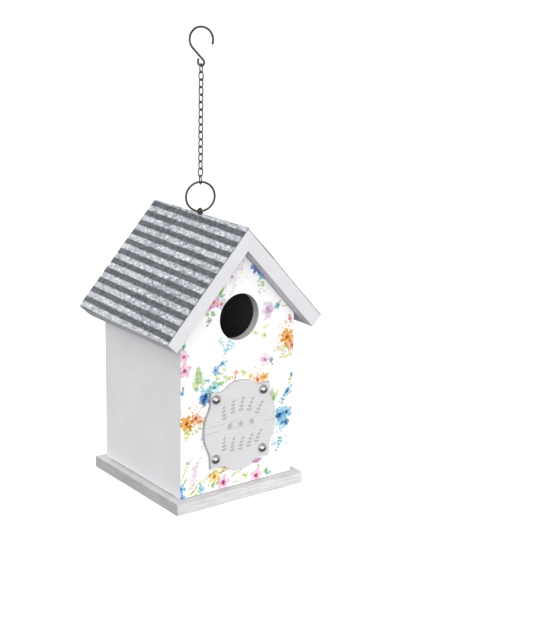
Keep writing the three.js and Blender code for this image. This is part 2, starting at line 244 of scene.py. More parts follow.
def roof_bands(name):
    """Thin sheet in dark and bright bands: slate grey mottling between bands of bright zinc spangle."""
    g = Graph(name)
    p = g.house_point()
    x, y, _ = g.split(p)
    waver = g.times_plus(g.noise(g.stretched(p, (0.2, 0.12, 0.2)), 1.0, 3.0, 0.6), 0.7, -0.35)
    ragged = g.times_plus(g.noise(p, 0.95, 2.0, 0.6), 0.60, -0.30)
    down = g.math("DIVIDE", g.math("ABSOLUTE", x), COS)
    down = g.plus(down, g.plus(waver, ragged))
    # the bands run a little askew to the fold
    skew = g.times(g.minus(y, ROOF_MIDDLE), g.span(x, -0.01, 0.01, BAND_SKEW, -BAND_SKEW, "LINEAR"))
    start = g.span(x, -0.01, 0.01, *BAND_START, "LINEAR")
    wave = g.math("COSINE", g.times(g.minus(g.plus(down, skew), start), 2 * math.pi / BAND_PITCH))
    light = g.span(wave, 0.34, -0.28)
    crest = g.span(wave, 0.0, -1.0)
    flakes = g.cells(g.stretched(p, (1.0, 0.6, 1.0)), 0.52)
    flake = g.times_plus(g.split(flakes["Color"])[0], 0.8, g.times(g.noise(p, 1.5, 3.0, 0.7), 0.55))
    worn = g.noise(g.stretched(p, (0.03, 0.02, 0.03)), 1.0, 3.0, 0.6)
    bright = g.times_plus(worn, 0.95, g.times_plus(flake, 0.80, -0.17))
    bright = g.times_plus(crest, 0.16, bright)
    zinc = g.mix(g.span(bright, 0.50, 1.16), (0.19, 0.205, 0.23), (0.435, 0.46, 0.495))
    glints = g.split(g.cells(g.stretched(p, (1.0, 0.7, 1.0)), 0.78)["Color"])
    zinc = g.mix(g.times(g.span(glints[1], 0.72, 0.92), 0.60), zinc, (0.80, 0.825, 0.86))
    mottle = g.times_plus(g.noise(p, 1.1, 3.0, 0.7), 0.7, g.times(flake, 0.3))
    slate = g.mix(g.span(mottle, 0.36, 0.74), (0.039, 0.048, 0.058), (0.096, 0.110, 0.124))
    color = g.mix(light, slate, zinc)
    height = g.times_plus(light, 0.6, g.times(flake, 0.5))
    rough = g.span(flake, 0.2, 1.1, 0.62, 0.42)
    return g.surface(color, rough, g.bump(height, 0.07), metal=0.15)


def wire_metal(name, low, high, rough=(0.30, 0.46)):
    """Dark gunmetal wire with drawn marks and duller patches."""
    g = Graph(name)
    p = g.vector("MULTIPLY", g.add("TexCoord").outputs["Object"], (1 / MM,) * 3)
    patches = g.noise(p, 0.8, 4.0, 0.65)
    marks = g.noise(p, 4.0, 3.0, 0.6)
    color = g.mix(g.span(g.times_plus(marks, 0.3, patches), 0.45, 0.85), low, high)
    return g.surface(color, g.span(patches, 0.3, 0.7, *rough), g.bump(marks, 0.03), metal=0.85)


def bright_metal(name):
    """Polished nail heads with hairline scratches and a little dulling."""
    g = Graph(name)
    p = g.house_point()
    haze = g.noise(p, 0.6, 3.0)
    hairs = g.noise(g.stretched(p, (0.4, 3.0, 6.0)), 1.0, 3.0, 0.7)
    color = g.mix(haze, (0.30, 0.29, 0.30), (0.46, 0.45, 0.46))
    return g.surface(color, g.span(haze, 0.3, 0.7, 0.14, 0.28), g.bump(hairs, 0.015), metal=1.0)


def gloss_knob(name):
    """A small turned knob in gloss white, with faint lathe rings and a hint of dust."""
    g = Graph(name)
    p = g.house_point()
    rings = g.noise(g.stretched(p, (0.05, 2.2, 0.05)), 1.0, 2.0)
    dust = g.noise(p, 0.9, 4.0, 0.6)
    color = g.mix(g.times(g.plus(rings, dust), 0.5), (0.80, 0.79, 0.78), (0.93, 0.93, 0.93))
    return g.surface(color, g.span(dust, 0.3, 0.7, 0.22, 0.34), g.bump(rings, 0.05))


# ---------------- watercolour
SHARED_SOCKETS = {"Ink": "Vector", "Point": "Vector", "Pigment": "Float", "Place": "Vector", "Tint": "Vector",
                  "Density": "Float"}
CURVE = 0.25  # how far the tip bends sideways, in half widths for a leaf and in lengths for a sprig


def stroke(name, **own_sockets):
    """An empty brush stroke, a node group that adds to the ink: its graph, its inputs, the way from its
    place to the point, and its output socket."""
    tree = bpy.data.node_groups.new(name, "ShaderNodeTree")
    for label, kind in {**SHARED_SOCKETS, **own_sockets}.items():
        tree.interface.new_socket(name=label, in_out="INPUT", socket_type="NodeSocket" + kind)
    tree.interface.new_socket(name="Ink", in_out="OUTPUT", socket_type="NodeSocketVector")
    g = Graph(name, tree)
    i = tree.nodes.new("NodeGroupInput").outputs
    away = g.vector("SUBTRACT", i["Point"], i["Place"])
    return g, i, away, tree.nodes.new("NodeGroupOutput").inputs[0]


def soak(g, i, cover, tint="Tint", ink=None):
    """Adds a tint to the ink, as strongly as the stroke covers this point."""
    strength = g.times(cover, g.times(i["Pigment"], i["Density"]))
    return g.vector("MULTIPLY_ADD", i[tint], strength, ink or i["Ink"])


def distance(g, i, away):
    """How far the point lies from the stroke's place, in its radii."""
    return g.math("DIVIDE", g.vector("LENGTH", g.flat(away)), i["Radius"])


def bent_axes(g, i, away):
    """How far along a curved stroke the point lies, 0 to 1, and how far to either side."""
    t = g.vector("DOT_PRODUCT", away, i["Along"])
    s = g.vector("DOT_PRODUCT", away, i["Across"])
    return t, g.math("ABSOLUTE", g.times_plus(g.times(t, t), CURVE, s))


def bloom_stroke():
    """One blossom seen from the front: rounded lobes round a heart, paler inwards, darker at the rim."""
    g, i, away, out = stroke("watercolour blossom", Turn="Float", Radius="Float", Lobes="Float",
                             Second="Vector")
    x, _, z = g.split(away)
    r = distance(g, i, away)
    angle = g.plus(g.math("ARCTAN2", z, x), i["Turn"])
    lobe = g.math("POWER", g.math("ABSOLUTE", g.math("COSINE", g.times(angle, i["Lobes"]))), 0.55)
    edge = g.minus(g.times_plus(lobe, 0.52, 0.46), r)
    inside = g.span(edge, -0.06, 0.26)
    rim = g.span(edge, 0.05, 0.45, 1.0, 0.58)
    washed = soak(g, i, g.times(inside, rim))
    heart = g.times(g.span(r, 0.34, 0.10), i["Pigment"])
    g.put(out, g.vector("MULTIPLY_ADD", i["Second"], heart, washed))
    return g.tree


def leaf_stroke():
    """One brush leaf: widest near its foot, pointed, with a pale midrib."""
    g, i, away, out = stroke("watercolour leaf", Along="Vector", Across="Vector")
    t, s = bent_axes(g, i, away)
    profile = g.times(g.times(t, 6.0), g.math("POWER", g.minus(1.0, t, clamp=True), 1.8))
    inside = g.span(g.minus(profile, s), -0.1, 0.5)
    rib = g.span(s, 0.03, 0.2, 0.7, 1.0)
    g.put(out, soak(g, i, g.times(inside, rib)))
    return g.tree


def sprig_stroke():
    """A curved stem with a pair of slanted leaflets at every step, smaller towards the tip."""
    g, i, away, out = stroke("watercolour sprig", Along="Vector", Across="Vector", Pairs="Float")
    t, s = bent_axes(g, i, away)
    across = g.times(s, i["Pairs"])
    step = g.math("FRACT", g.times(t, i["Pairs"]))
    # u runs along a leaflet, which slants at 45 degrees, and v across it
    u = g.times(g.plus(step, across), math.sqrt(0.5))
    v = g.math("ABSOLUTE", g.times(g.minus(step, across), math.sqrt(0.5)))
    share = g.math("DIVIDE", u, g.span(t, 0.0, 1.0, 1.25, 0.5, "LINEAR"))
    profile = g.times(g.times(share, g.minus(1.0, share, clamp=True)), 1.15)
    leaflets = g.span(g.minus(profile, v), -0.04, 0.18)
    stem = g.span(across, 0.13, 0.03)
    within = g.times(g.span(t, 0.0, 0.03), g.span(t, 1.0, 0.97))
    g.put(out, soak(g, i, g.times(g.math("MAXIMUM", leaflets, stem), within)))
    return g.tree


def dabs_stroke():
    """Loose dabs of two tints that thin out from the middle of a patch."""
    g, i, away, out = stroke("watercolour dabs", Radius="Float", Step="Float", Second="Vector")
    r = distance(g, i, away)
    cell = g.cells(g.vector("ADD", g.flat(away), i["Place"]), g.math("DIVIDE", 1.0, i["Step"]))
    random = g.split(cell["Color"])
    size = g.times_plus(random[0], 0.28, 0.22)
    dab = g.span(g.minus(size, cell["Distance"]), -0.04, 0.18)
    here = g.span(g.minus(random[1], r), -0.18, 0.0)
    cover = g.times(dab, here)
    share = g.span(random[2], 0.4, 0.6)
    first = soak(g, i, g.times(cover, g.minus(1.0, share)))
    g.put(out, soak(g, i, g.times(cover, share), "Second", first))
    return g.tree


STROKES = {"bloom": bloom_stroke(), "leaf": leaf_stroke(), "sprig": sprig_stroke(), "dabs": dabs_stroke()}

# inks of the print at full strength, as seen on white paper
SEEN = {
    "lilac": (0.72, 0.58, 0.76), "pale_lilac": (0.82, 0.75, 0.82), "cobalt": (0.18, 0.29, 0.6),
    "deep": (0.13, 0.3, 0.52), "blue": (0.2, 0.5, 0.74), "sky": (0.48, 0.73, 0.84),
    "teal": (0.24, 0.5, 0.56), "pale_teal": (0.52, 0.73, 0.74), "green": (0.36, 0.56, 0.33),
    "leaf": (0.5, 0.66, 0.38), "pale_leaf": (0.68, 0.78, 0.52), "lime": (0.73, 0.74, 0.34),
    "olive": (0.52, 0.49, 0.24), "pink": (0.8, 0.4, 0.58), "rose": (0.7, 0.27, 0.4),
    "pale_pink": (0.88, 0.66, 0.77), "magenta": (0.6, 0.28, 0.54), "orange": (0.82, 0.4, 0.08),
    "coral": (0.82, 0.43, 0.32), "red": (0.72, 0.27, 0.1), "yellow": (0.86, 0.7, 0.26),
    "peach": (0.9, 0.74, 0.58), "plum": (0.4, 0.28, 0.4), "grey": (0.56, 0.56, 0.58),
    "faint": (0.76, 0.755, 0.765),
}
MUTED = 0.06  # print inks are a little dull
FULL_WASH = 2.2  # a wash at full strength is this many times as dense as the ink is seen


def absorbance(tint):
    """How much of red, green and blue an ink takes out of the light."""
    grey = math.log(sum(tint) / 3)
    return tuple(-FULL_WASH * ((1 - MUTED) * math.log(c) + MUTED * grey) for c in tint)


INK = {name: absorbance(tint) for name, tint in SEEN.items()}


def brush(g, paper, point, pigment, strokes):
    """Lays the strokes (kind, x, z, four values of its kind, density) over the paper as washes of ink."""
    ink = (0.0, 0.0, 0.0)
    for kind, x, z, *shape, density in strokes:
        settings = {"Ink": ink, "Point": point, "Pigment": pigment, "Place": (x, 0, z), "Density": density}
        if kind in ("bloom", "dabs"):
            settings["Radius"], number, tint, second = shape
            settings["Second"] = INK[second]
            if kind == "dabs":
                settings["Step"] = number
            else:
                settings["Lobes"] = number / 2
                settings["Turn"] = math.radians(37 * x + 11 * z)
        else:
            turn, length, number, tint = shape
            c, s = math.cos(math.radians(turn)), math.sin(math.radians(turn))
            settings["Along"] = Vector((c, 0, s)) / length
            settings["Across"] = Vector((-s, 0, c)) / (number if kind == "leaf" else length)
            if kind == "sprig":
                settings["Pairs"] = number
        settings["Tint"] = INK[tint]
        ink = g.fed("Group", settings, node_tree=STROKES[kind]).outputs[0]
        # each stroke waits for the one before it, which keeps the renderer's working memory small
        point = g.vector("MULTIPLY_ADD", ink, (1e-6,) * 3, point)
    through = [g.math("POWER", math.e, g.times(taken, -1.0)) for taken in g.split(ink)]
    return g.vector("MULTIPLY", paper, g.fed("CombineXYZ", dict(enumerate(through))).outputs[0])


# the print, each kind listed from the peak of the gable down to its foot, placed by x and z
BLOOMS = [  # radius, lobes, tint, heart, density
    (-2, 188, 8, 5, "pale_lilac", "peach", 0.55), (-7, 178, 6, 5, "pale_lilac", "lilac", 0.5),
    (17, 183, 6.5, 6, "cobalt", "deep", 0.95), (23, 176, 5.5, 5, "blue", "deep", 0.9),
    (-25, 160, 6.5, 5, "pink", "coral", 0.85), (-17, 157, 5.5, 5, "lilac", "orange", 0.8),
    (-31, 157, 5, 5, "magenta", "plum", 0.5), (-29, 145.5, 3.4, 4, "grey", "plum", 0.8),
    (29, 146, 8.5, 5, "pale_lilac", "pale_pink", 0.36), (38.5, 147.5, 3.2, 4, "teal", "plum", 0.9),
    (49.5, 119, 8, 7, "orange", "red", 0.8), (54.5, 111.5, 6.5, 6, "coral", "red", 0.7),
    (-15, 107.5, 3.2, 5, "blue", "teal", 0.5), (27, 103.5, 6.5, 5, "pale_pink", "lilac", 0.7),
    (33.5, 102.5, 2.6, 4, "teal", "plum", 0.9), (-53, 119.5, 6, 5, "pink", "rose", 0.5),
    (-52, 108, 7, 5, "rose", "magenta", 0.42), (-54.5, 90, 2.4, 4, "blue", "deep", 0.7),
    (-22, 103, 4.2, 5, "cobalt", "deep", 0.55), (-16, 108, 2.2, 4, "deep", "deep", 0.4),
    (-23, 89, 6.5, 5, "sky", "blue", 0.8), (-31.5, 83.5, 8, 6, "blue", "deep", 0.6),
    (-33, 80, 6, 5, "cobalt", "deep", 0.5), (-33.5, 81, 3.4, 5, "deep", "blue", 0.5),
    (-2, 97.5, 3.2, 5, "coral", "red", 0.75), (13, 92, 3.6, 5, "yellow", "orange", 0.7),
    (20, 87.5, 6, 6, "coral", "red", 0.55), (27, 89, 4.5, 5, "orange", "coral", 0.7),
    (55, 86, 2.2, 4, "deep", "deep", 0.8), (51, 72, 4.5, 5, "blue", "deep", 0.5),
    (44, 53, 7.0, 6, "blue", "deep", 0.75), (51, 54, 6.0, 5, "blue", "deep", 0.6),
    (46, 45, 6.5, 5, "sky", "blue", 0.9), (50.5, 45, 3.4, 5, "deep", "deep", 0.9),
    (42, 52, 3.4, 5, "deep", "deep", 0.8), (-50, 64, 7.5, 6, "orange", "red", 0.85),
    (-41, 66, 6, 6, "coral", "red", 0.8), (-36, 63, 4.5, 5, "peach", "orange", 0.9),
    (-55, 9, 5, 5, "blue", "deep", 0.85), (-54, 1.5, 3.5, 4, "cobalt", "deep", 0.7),
    (-35.5, 4, 4.2, 5, "blue", "teal", 0.5), (-22.5, 12.5, 6.5, 6, "yellow", "orange", 0.9),
    (-12, 19, 5, 5, "yellow", "olive", 0.8), (-13.5, 5.5, 7.2, 5, "pink", "rose", 0.55),
    (-13.5, 5.5, 3.4, 5, "rose", "pink", 0.3), (20, 4, 7.2, 5, "pink", "rose", 0.55),
    (20, 4, 3.2, 5, "rose", "coral", 0.35), (-49, 30, 3.2, 5, "pale_lilac", "lilac", 0.6),
    (-44, 24, 2.8, 5, "pale_lilac", "peach", 0.6),
]
LEAVES = [  # turn, length, half width, tint, density
    (-12, 173, 230, 9, 1.8, "pale_leaf", 0.5), (24, 171, 262, 9, 1.5, "leaf", 0.7),
    (-22, 163, 100, 12, 3.0, "green", 1.1), (-20, 163, 62, 11, 2.6, "leaf", 1.1),
    (-24, 163, 138, 9, 2.0, "pale_leaf", 0.8), (-19, 162, 30, 8, 1.6, "teal", 0.5),
    (-27, 152, 320, 6, 2.2, "green", 0.8), (-29, 152, 215, 5, 2.0, "green", 0.7),
    (-30, 143, 240, 4.5, 1.3, "magenta", 0.5), (36, 147, 195, 17, 4.2, "lilac", 0.5),
    (34, 146, 228, 17, 3.6, "pale_lilac", 0.8), (34, 148, 162, 13, 3.0, "pale_lilac", 0.7),
    (40, 149, 60, 5, 1.3, "leaf", 0.8), (41, 147, 352, 14, 0.7, "olive", 0.5),
    (50, 133, 60, 6, 1.5, "coral", 0.7), (53, 131, 100, 6, 1.4, "rose", 0.6),
    (20, 127, 165, 9, 2.0, "pale_leaf", 0.8), (22, 126, 340, 9, 2.0, "lime", 0.65),
    (24, 130, 28, 9, 1.8, "lime", 0.6), (26, 127, 290, 7, 1.5, "pale_leaf", 0.8),
    (-17, 107, 185, 5, 1.2, "teal", 0.8), (-14, 108, 20, 6, 1.2, "sky", 0.9),
    (31, 103, 170, 12, 2.2, "pale_lilac", 0.8), (33, 101, 310, 6, 1.0, "olive", 0.7),
    (18, 97, 118, 5, 0.8, "olive", 0.6), (-52, 126, 110, 9, 2.4, "pale_teal", 0.9),
    (-55, 124, 70, 7, 1.8, "green", 0.6), (-54, 91, 80, 6, 1.3, "plum", 0.6),
    (-38, 93, 96, 21, 4.8, "leaf", 0.85), (-38, 91, 140, 12, 3.4, "pale_leaf", 0.9),
    (-37, 90, 60, 14, 2.6, "pale_leaf", 0.8), (-38, 90, 175, 7, 2.0, "green", 0.6),
    (-24, 99, 15, 9, 1.5, "teal", 0.5), (-27, 95, 165, 8, 1.6, "blue", 0.6),
    (-21, 90, 20, 10, 1.8, "leaf", 0.6), (-12, 94, 10, 9, 2.1, "lime", 0.55),
    (-10, 95, 160, 7, 1.8, "leaf", 0.6), (-2, 95, 250, 5, 1.2, "rose", 0.7),
    (3, 94, 28, 9, 2.0, "lime", 0.7), (7, 96, 150, 8, 1.8, "pale_leaf", 0.9),
    (28, 90, 25, 6, 1.2, "lime", 0.8), (35, 62, 92, 20, 3.8, "leaf", 0.7),
    (36, 66, 60, 14, 2.2, "pale_leaf", 0.9), (53, 80, 95, 6, 1.2, "leaf", 0.7),
    (-48, 58, 215, 8, 1.6, "lime", 0.8), (-42, 58, 300, 8, 1.6, "pale_leaf", 0.9),
    (-40, 59, 330, 8, 1.4, "leaf", 0.7), (-35, 46, 95, 6, 1.2, "sky", 0.8),
    (-53, 54, 300, 9, 0.9, "lime", 0.6), (-45, 58, 285, 9, 0.9, "olive", 0.4),
    (-56, 72, 75, 7, 0.9, "lime", 0.5), (-53, 12, 60, 8, 1.6, "leaf", 0.6),
    (-50, 1, 22, 17, 1.0, "lime", 0.8), (-46, 2, 44, 14, 1.0, "olive", 0.7),
    (-44, 1, 10, 12, 1.0, "lime", 0.7), (-36, 7, 110, 6, 1.3, "teal", 0.55),
    (-24, 8, 280, 7, 2.2, "green", 0.85), (-21, 7, 330, 6, 1.8, "leaf", 0.8),
    (-18, 14, 20, 8, 1.8, "olive", 0.6), (-7, 8, 25, 13, 1.2, "pale_leaf", 0.9),
    (-5, 3, 5, 9, 1.4, "leaf", 0.7), (1, 9, 50, 10, 1.0, "lime", 0.7),
    (3, 6, 15, 11, 1.0, "pale_leaf", 0.9), (10, 4, 120, 9, 1.3, "lime", 0.8),
    (17, 16.5, 12, 11, 2.6, "magenta", 0.7), (19, 16, 160, 8, 1.6, "pink", 0.8),
    (21, 14, 300, 7, 1.0, "leaf", 0.8), (28, 3, 60, 9, 2.6, "leaf", 0.8), (30, 2, 25, 9, 2.2, "teal", 0.55),
    (31, 1, 95, 10, 1.8, "pale_leaf", 0.9), (-52, 3, 38, 22, 0.8, "lime", 0.5),
    (-56, 14, 62, 18, 0.8, "pale_leaf", 0.8), (-38, 1, 75, 16, 0.8, "pale_leaf", 0.7),
    (-30, 1, 62, 12, 0.9, "lime", 0.5), (-16, 18, 150, 9, 0.8, "lime", 0.5),
    (8, 1, 65, 13, 0.9, "pale_leaf", 0.8),
]
SPRIGS = [  # turn, length, pairs of leaflets, tint, density
    (-4, 172, 250, 14, 5, "pale_lilac", 0.6), (20, 173, 285, 14, 5, "pale_leaf", 0.75),
    (50, 113, 208, 15, 5, "lime", 0.85), (50, 111, 240, 13, 4, "pale_leaf", 0.9),
    (54, 104, 200, 11, 4, "lime", 0.8), (-19, 129, 310, 13, 4, "pale_teal", 0.8),
    (-8, 130, 262, 18, 5, "teal", 0.4), (-4, 123, 225, 12, 4, "sky", 0.8),
    (-29, 84, 62, 27, 6, "pale_leaf", 0.85), (-18, 90, 28, 15, 5, "pale_leaf", 0.9),
    (44, 62, 66, 20, 6, "teal", 0.7), (52, 78, 70, 12, 4, "pale_leaf", 0.8),
    (45, 33, 262, 14, 5, "teal", 0.75), (46, 30, 205, 11, 4, "sky", 0.9),
    (-46, 62, 262, 13, 4, "lime", 0.9), (-46, 6, 82, 30, 8, "pale_lilac", 0.75),
    (-41, 8, 100, 22, 6, "pale_lilac", 0.6), (-52, 24, 60, 14, 5, "pale_leaf", 0.6),
    (-34, 10, 40, 17, 6, "pale_leaf", 0.8),
]
DABS = [  # radius, step, tint, second tint, density
    (-1, 180, 13, 2.2, "lilac", "peach", 0.35), (20, 178, 9, 1.9, "deep", "sky", 0.6),
    (24, 166, 6, 1.6, "plum", "leaf", 0.7), (-23, 157, 9, 2.0, "rose", "coral", 0.55),
    (52, 135, 5.5, 1.6, "red", "coral", 0.85), (50.5, 117, 13, 1.7, "orange", "red", 0.75),
    (46, 125, 9, 1.6, "coral", "orange", 0.7), (53, 104, 6, 1.5, "orange", "lime", 0.8),
    (-10, 121, 8.5, 2.0, "teal", "sky", 0.42), (-52, 113, 9, 1.9, "rose", "pink", 0.35),
    (-29, 85, 11, 2.1, "deep", "sky", 0.45), (20, 88.5, 9, 1.8, "orange", "coral", 0.5),
    (47, 49, 12, 2.1, "deep", "sky", 0.6), (39, 34, 6, 1.7, "blue", "pale_teal", 0.7),
    (46, 27, 9, 1.9, "teal", "sky", 0.8), (-44, 66, 13, 1.7, "orange", "red", 0.75),
    (-40, 72, 9, 1.6, "coral", "orange", 0.7), (-33, 44, 4.5, 1.6, "sky", "blue", 0.7),
    (-46, 58, 9, 1.5, "lime", "pale_leaf", 0.6), (-43, 20, 8, 1.9, "lilac", "magenta", 0.4),
    (-32, 5, 5, 1.6, "sky", "teal", 0.7), (-28, 14, 6, 1.5, "red", "coral", 0.75),
    (33, 6, 6, 1.7, "green", "pale_teal", 0.7), (-20, 9, 13, 1.6, "pale_leaf", "peach", 0.7),
]
TABLES = {"bloom": BLOOMS, "leaf": LEAVES, "sprig": SPRIGS, "dabs": DABS}
FLOWERS = [(kind, *values) for kind, table in TABLES.items() for values in table]

# the plaque's ornament: sprigs in grey ink over and under small blossoms
ORNAMENT = [("bloom", x, 54.5, 3.0, 5, "faint", "faint", 1.0) for x in (-10, 1, 12)]
for x in (-15, -7, 1, 9, 17):
    ORNAMENT.append(("sprig", x, 65.5 - 0.02 * x * x, 90 - 1.1 * x, 13, 4, "faint", 1.0))
    ORNAMENT.append(("sprig", x, 31.5 + 0.012 * x * x, 90 - 0.8 * x, 13, 4, "faint", 1.0))


def floral_print(name):
    """White film with a scattered watercolour print."""
    g = Graph(name)
    p = g.house_point()
    flat = g.flat(p)
    wobble = g.vector("SUBTRACT", g.noise(flat, 0.33, 2.0, 0.6, "Color"), (0.5, 0.5, 0.5))
    ripple = g.vector("SUBTRACT", g.noise(flat, 1.4, 1.0, 0.5, "Color"), (0.5, 0.5, 0.5))
    point = g.vector("MULTIPLY_ADD", wobble, (3.2, 0, 3.2), flat)
    point = g.vector("MULTIPLY_ADD", ripple, (0.9, 0, 0.9), point)
    pools = g.times_plus(g.noise(flat, 0.42, 3.0, 0.6), 0.6, g.times(g.noise(flat, 1.6, 2.0, 0.6), 0.5))
    pigment = g.span(pools, 0.30, 0.76, 0.28, 1.12)
    paper = g.mix(g.noise(p, 0.06, 2.0), (0.975, 0.972, 0.968), (0.992, 0.990, 0.988))
    color = brush(g, paper, point, pigment, FLOWERS)
    # the film greys within a millimetre of its left and right edges
    trim = g.span(g.math("ABSOLUTE", g.split(p)[0]), BODY_HALF - 1.0, BODY_HALF - 0.4)
    color = g.mix(trim, color, (0.74, 0.74, 0.745), "MULTIPLY")
    tooth = g.noise(p, 1.1, 3.0, 0.6)
    return g.surface(color, g.span(tooth, 0.3, 0.7, 0.40, 0.52), g.bump(tooth, 0.03))


def plaque_face(name):
    """Pale grey washed boards with faint joints and a grey printed ornament."""
    g = Graph(name)
    p = g.house_point()
    flat = g.flat(p)
    z = g.split(p)[2]
    grain = g.noise(g.stretched(p, (0.04, 1.0, 0.9)), 1.0, 5.0, 0.65)
    color = g.mix(g.span(grain, 0.3, 0.7), (0.65, 0.64, 0.66), (0.695, 0.685, 0.705))
    for height, run in ((57.6, 0.31), (52.2, 0.23)):
        gap = g.math("ABSOLUTE", g.minus(z, g.times_plus(grain, 1.2, height - 0.6)))
        broken = g.span(g.noise(g.stretched(p, (run, 0.1, 0.02)), 1.0, 2.0), 0.40, 0.52)
        line = g.times(g.span(gap, 0.55, 0.1), broken)
        color = g.mix(g.times(line, 0.55), color, (0.40, 0.40, 0.41))
    pigment = g.span(g.noise(flat, 0.8, 3.0), 0.25, 0.6, 0.55, 0.95)
    color = brush(g, color, flat, pigment, ORNAMENT)
    return g.surface(color, g.span(grain, 0.3, 0.7, 0.60, 0.72), g.bump(grain, 0.08))


WHITE = (0.688, 0.678, 0.70)
M = {
    "paint": paint("white paint", WHITE),
    "paint_edge": paint("white paint, eased edges", (0.66, 0.65, 0.665), worn=0.25),
    "roof_paint": paint("white paint, roof boards", (0.72, 0.717, 0.742), (0.08, 0.6, 0.08)),
    # painted shade: a darker, more violet copy of the roof paint for the boards' downward faces, with a
    # little wear
    "painted_shade_soffit": paint("white paint, soffit", (0.585, 0.57, 0.625), (0.08, 0.6, 0.08), worn=0.1),
    # near-black painted shade for the faces inside the house
    "inside": painted_shade_board("inside in painted shade"),
    "hole_rim": paint("white paint, hole rim", (0.59, 0.58, 0.58), worn=0.12),
    "wash": whitewash("whitewashed board", (0.55, 0.545, 0.55), (0.78, 0.78, 0.79)),
    "wash_edge": whitewash("whitewashed edges", (0.42, 0.41, 0.41), (0.70, 0.70, 0.705)),
    "bands": roof_bands("banded sheet"),
    "sheet_edge": wire_metal("cut sheet edge", (0.14, 0.145, 0.15), (0.28, 0.29, 0.30)),
    # painted light: the right half's sheet edges and underside are pale as if lit; the left half keeps the
    # dark cut edge
    "lit_sheet_edge": whitewash("sheet edge in painted light", (0.55, 0.55, 0.56), (0.90, 0.90, 0.91)),
    "print": floral_print("floral print"),
    "plaque": plaque_face("washed plaque"),
    "plaque_edge": whitewash("plaque edge", (0.50, 0.495, 0.51), (0.66, 0.655, 0.67)),
    "chrome": bright_metal("bright nail heads"),
    "gunmetal": wire_metal("gunmetal wire", (0.045, 0.043, 0.042), (0.12, 0.115, 0.11), (0.42, 0.56)),
    "chain": wire_metal("gunmetal chain", (0.075, 0.073, 0.072), (0.17, 0.165, 0.16), (0.48, 0.60)),
    "iron": wire_metal("dark iron", (0.06, 0.06, 0.065), (0.16, 0.16, 0.17)),
    "knob": gloss_knob("gloss white knob"),
}


# ---------------- mesh code
def bridge(bm, first, second):
    """Faces between two closed rings of points; a ring of one point is a pole."""
    for i in range(max(len(first), len(second))):
        ways = (first, i), (first, i + 1), (second, i + 1), (second, i)
        bm.faces.new(list(dict.fromkeys(ring[k % len(ring)] for ring, k in ways)))


def solid_between(*rings):
    """A solid between two rings of points that match one to one."""
    bm = bmesh.new()
    front, back = [[bm.verts.new(point) for point in ring] for ring in rings]
    bm.faces.new(front)
    bm.faces.new(back[::-1])
    bridge(bm, front, back)
    return bm


def prism(outline, y0, y1):
    """A solid along y from an outline in x and z."""
    return solid_between(*[[(x, y, z) for x, z in outline] for y in (y0, y1)])


def pierced(outline, centre, radius, y0, y1, steps=96):
    """A plate along y with a round hole; the outline is convex and takes in the hole."""
    cx, cz = centre
    angles = {round(2 * math.pi * i / steps - math.pi, 6) for i in range(steps)}
    for x, z in outline:
        corner = round(math.atan2(z - cz, x - cx), 6)
        angles = {a for a in angles if abs(a - corner) > 0.012} | {corner}
    inner, outer = [], []
    for a in sorted(angles):
        dx, dz = math.cos(a), math.sin(a)
        reach = 1e9
        for (ax, az), (bx, bz) in zip(outline, outline[1:] + outline[:1]):
            ex, ez = bx - ax, bz - az
            below = dx * ez - dz * ex
            if abs(below) > 1e-9:
                t = ((ax - cx) * ez - (az - cz) * ex) / below
                s = ((ax - cx) * dz - (az - cz) * dx) / below
                if t > 0 and -1e-6 <= s <= 1 + 1e-6:
                    reach = min(reach, t)
        inner.append((cx + radius * dx, cz + radius * dz))
        outer.append((cx + reach * dx, cz + reach * dz))
    bm = bmesh.new()
    rings = [[bm.verts.new((x, y, z)) for x, z in ring] for ring in (inner, outer) for y in (y0, y1)]
    for a, b in ((0, 2), (2, 3), (3, 1), (1, 0)):
        bridge(bm, rings[a], rings[b])
    return bm


def ease(bm, width, segments=2, angle=30, material=-1, skip=None):
    """Rounds the edges sharper than angle."""
    bmesh.ops.recalc_face_normals(bm, faces=bm.faces)
    edges = [e for e in bm.edges if len(e.link_faces) == 2 and e.calc_face_angle(0) > math.radians(angle)
             and not (skip and skip(e))]
    bmesh.ops.bevel(bm, geom=edges, offset=width, offset_type="OFFSET", segments=segments, profile=0.5,
                    affect="EDGES", clamp_overlap=True, material=material)
    return bm


def assign(bm, index, test):
    """Gives the faces that pass test(centre, normal) that material."""
    bmesh.ops.recalc_face_normals(bm, faces=bm.faces)
    for face in bm.faces:
        if test(face.calc_center_median(), face.normal):
            face.material_index = index
    return bm


def lathe(profile, steps=40):
    """Turns a profile of (radius, y) round the y axis; it starts and ends on the axis."""
    bm = bmesh.new()
    rings = []
    for radius, y in profile:
        if radius == 0:
            rings.append([bm.verts.new((0, y, 0))])
        else:
            rings.append([bm.verts.new((radius * math.cos(2 * math.pi * i / steps), y,
                                        radius * math.sin(2 * math.pi * i / steps))) for i in range(steps)])
    for lower, upper in zip(rings, rings[1:]):
        bridge(bm, lower, upper)
    return bm


def smooth_outline(pairs, steps):
    """A finer outline through points in x and z (Catmull-Rom)."""
    points = [Vector(pair) for pair in pairs]
    fine = []
    ends = [2 * points[0] - points[1]] + points + [2 * points[-1] - points[-2]]
    for a, b, c, d in zip(ends, ends[1:], ends[2:], ends[3:]):
        for k in range(steps):
            t = k / steps
            fine.append(0.5 * ((2 * b) + (c - a) * t + (2 * a - 5 * b + 4 * c - d) * t * t
                               + (3 * b - a - 3 * c + d) * t ** 3))
    return [tuple(point) for point in fine + [points[-1]]]


def arc(cx, cz, radius, start, stop, count):
    """Points on an arc in the x-z plane, angles in degrees."""
    angles = [math.radians(start + (stop - start) * i / count) for i in range(count + 1)]
    return [Vector((cx + radius * math.cos(a), 0, cz + radius * math.sin(a))) for a in angles]


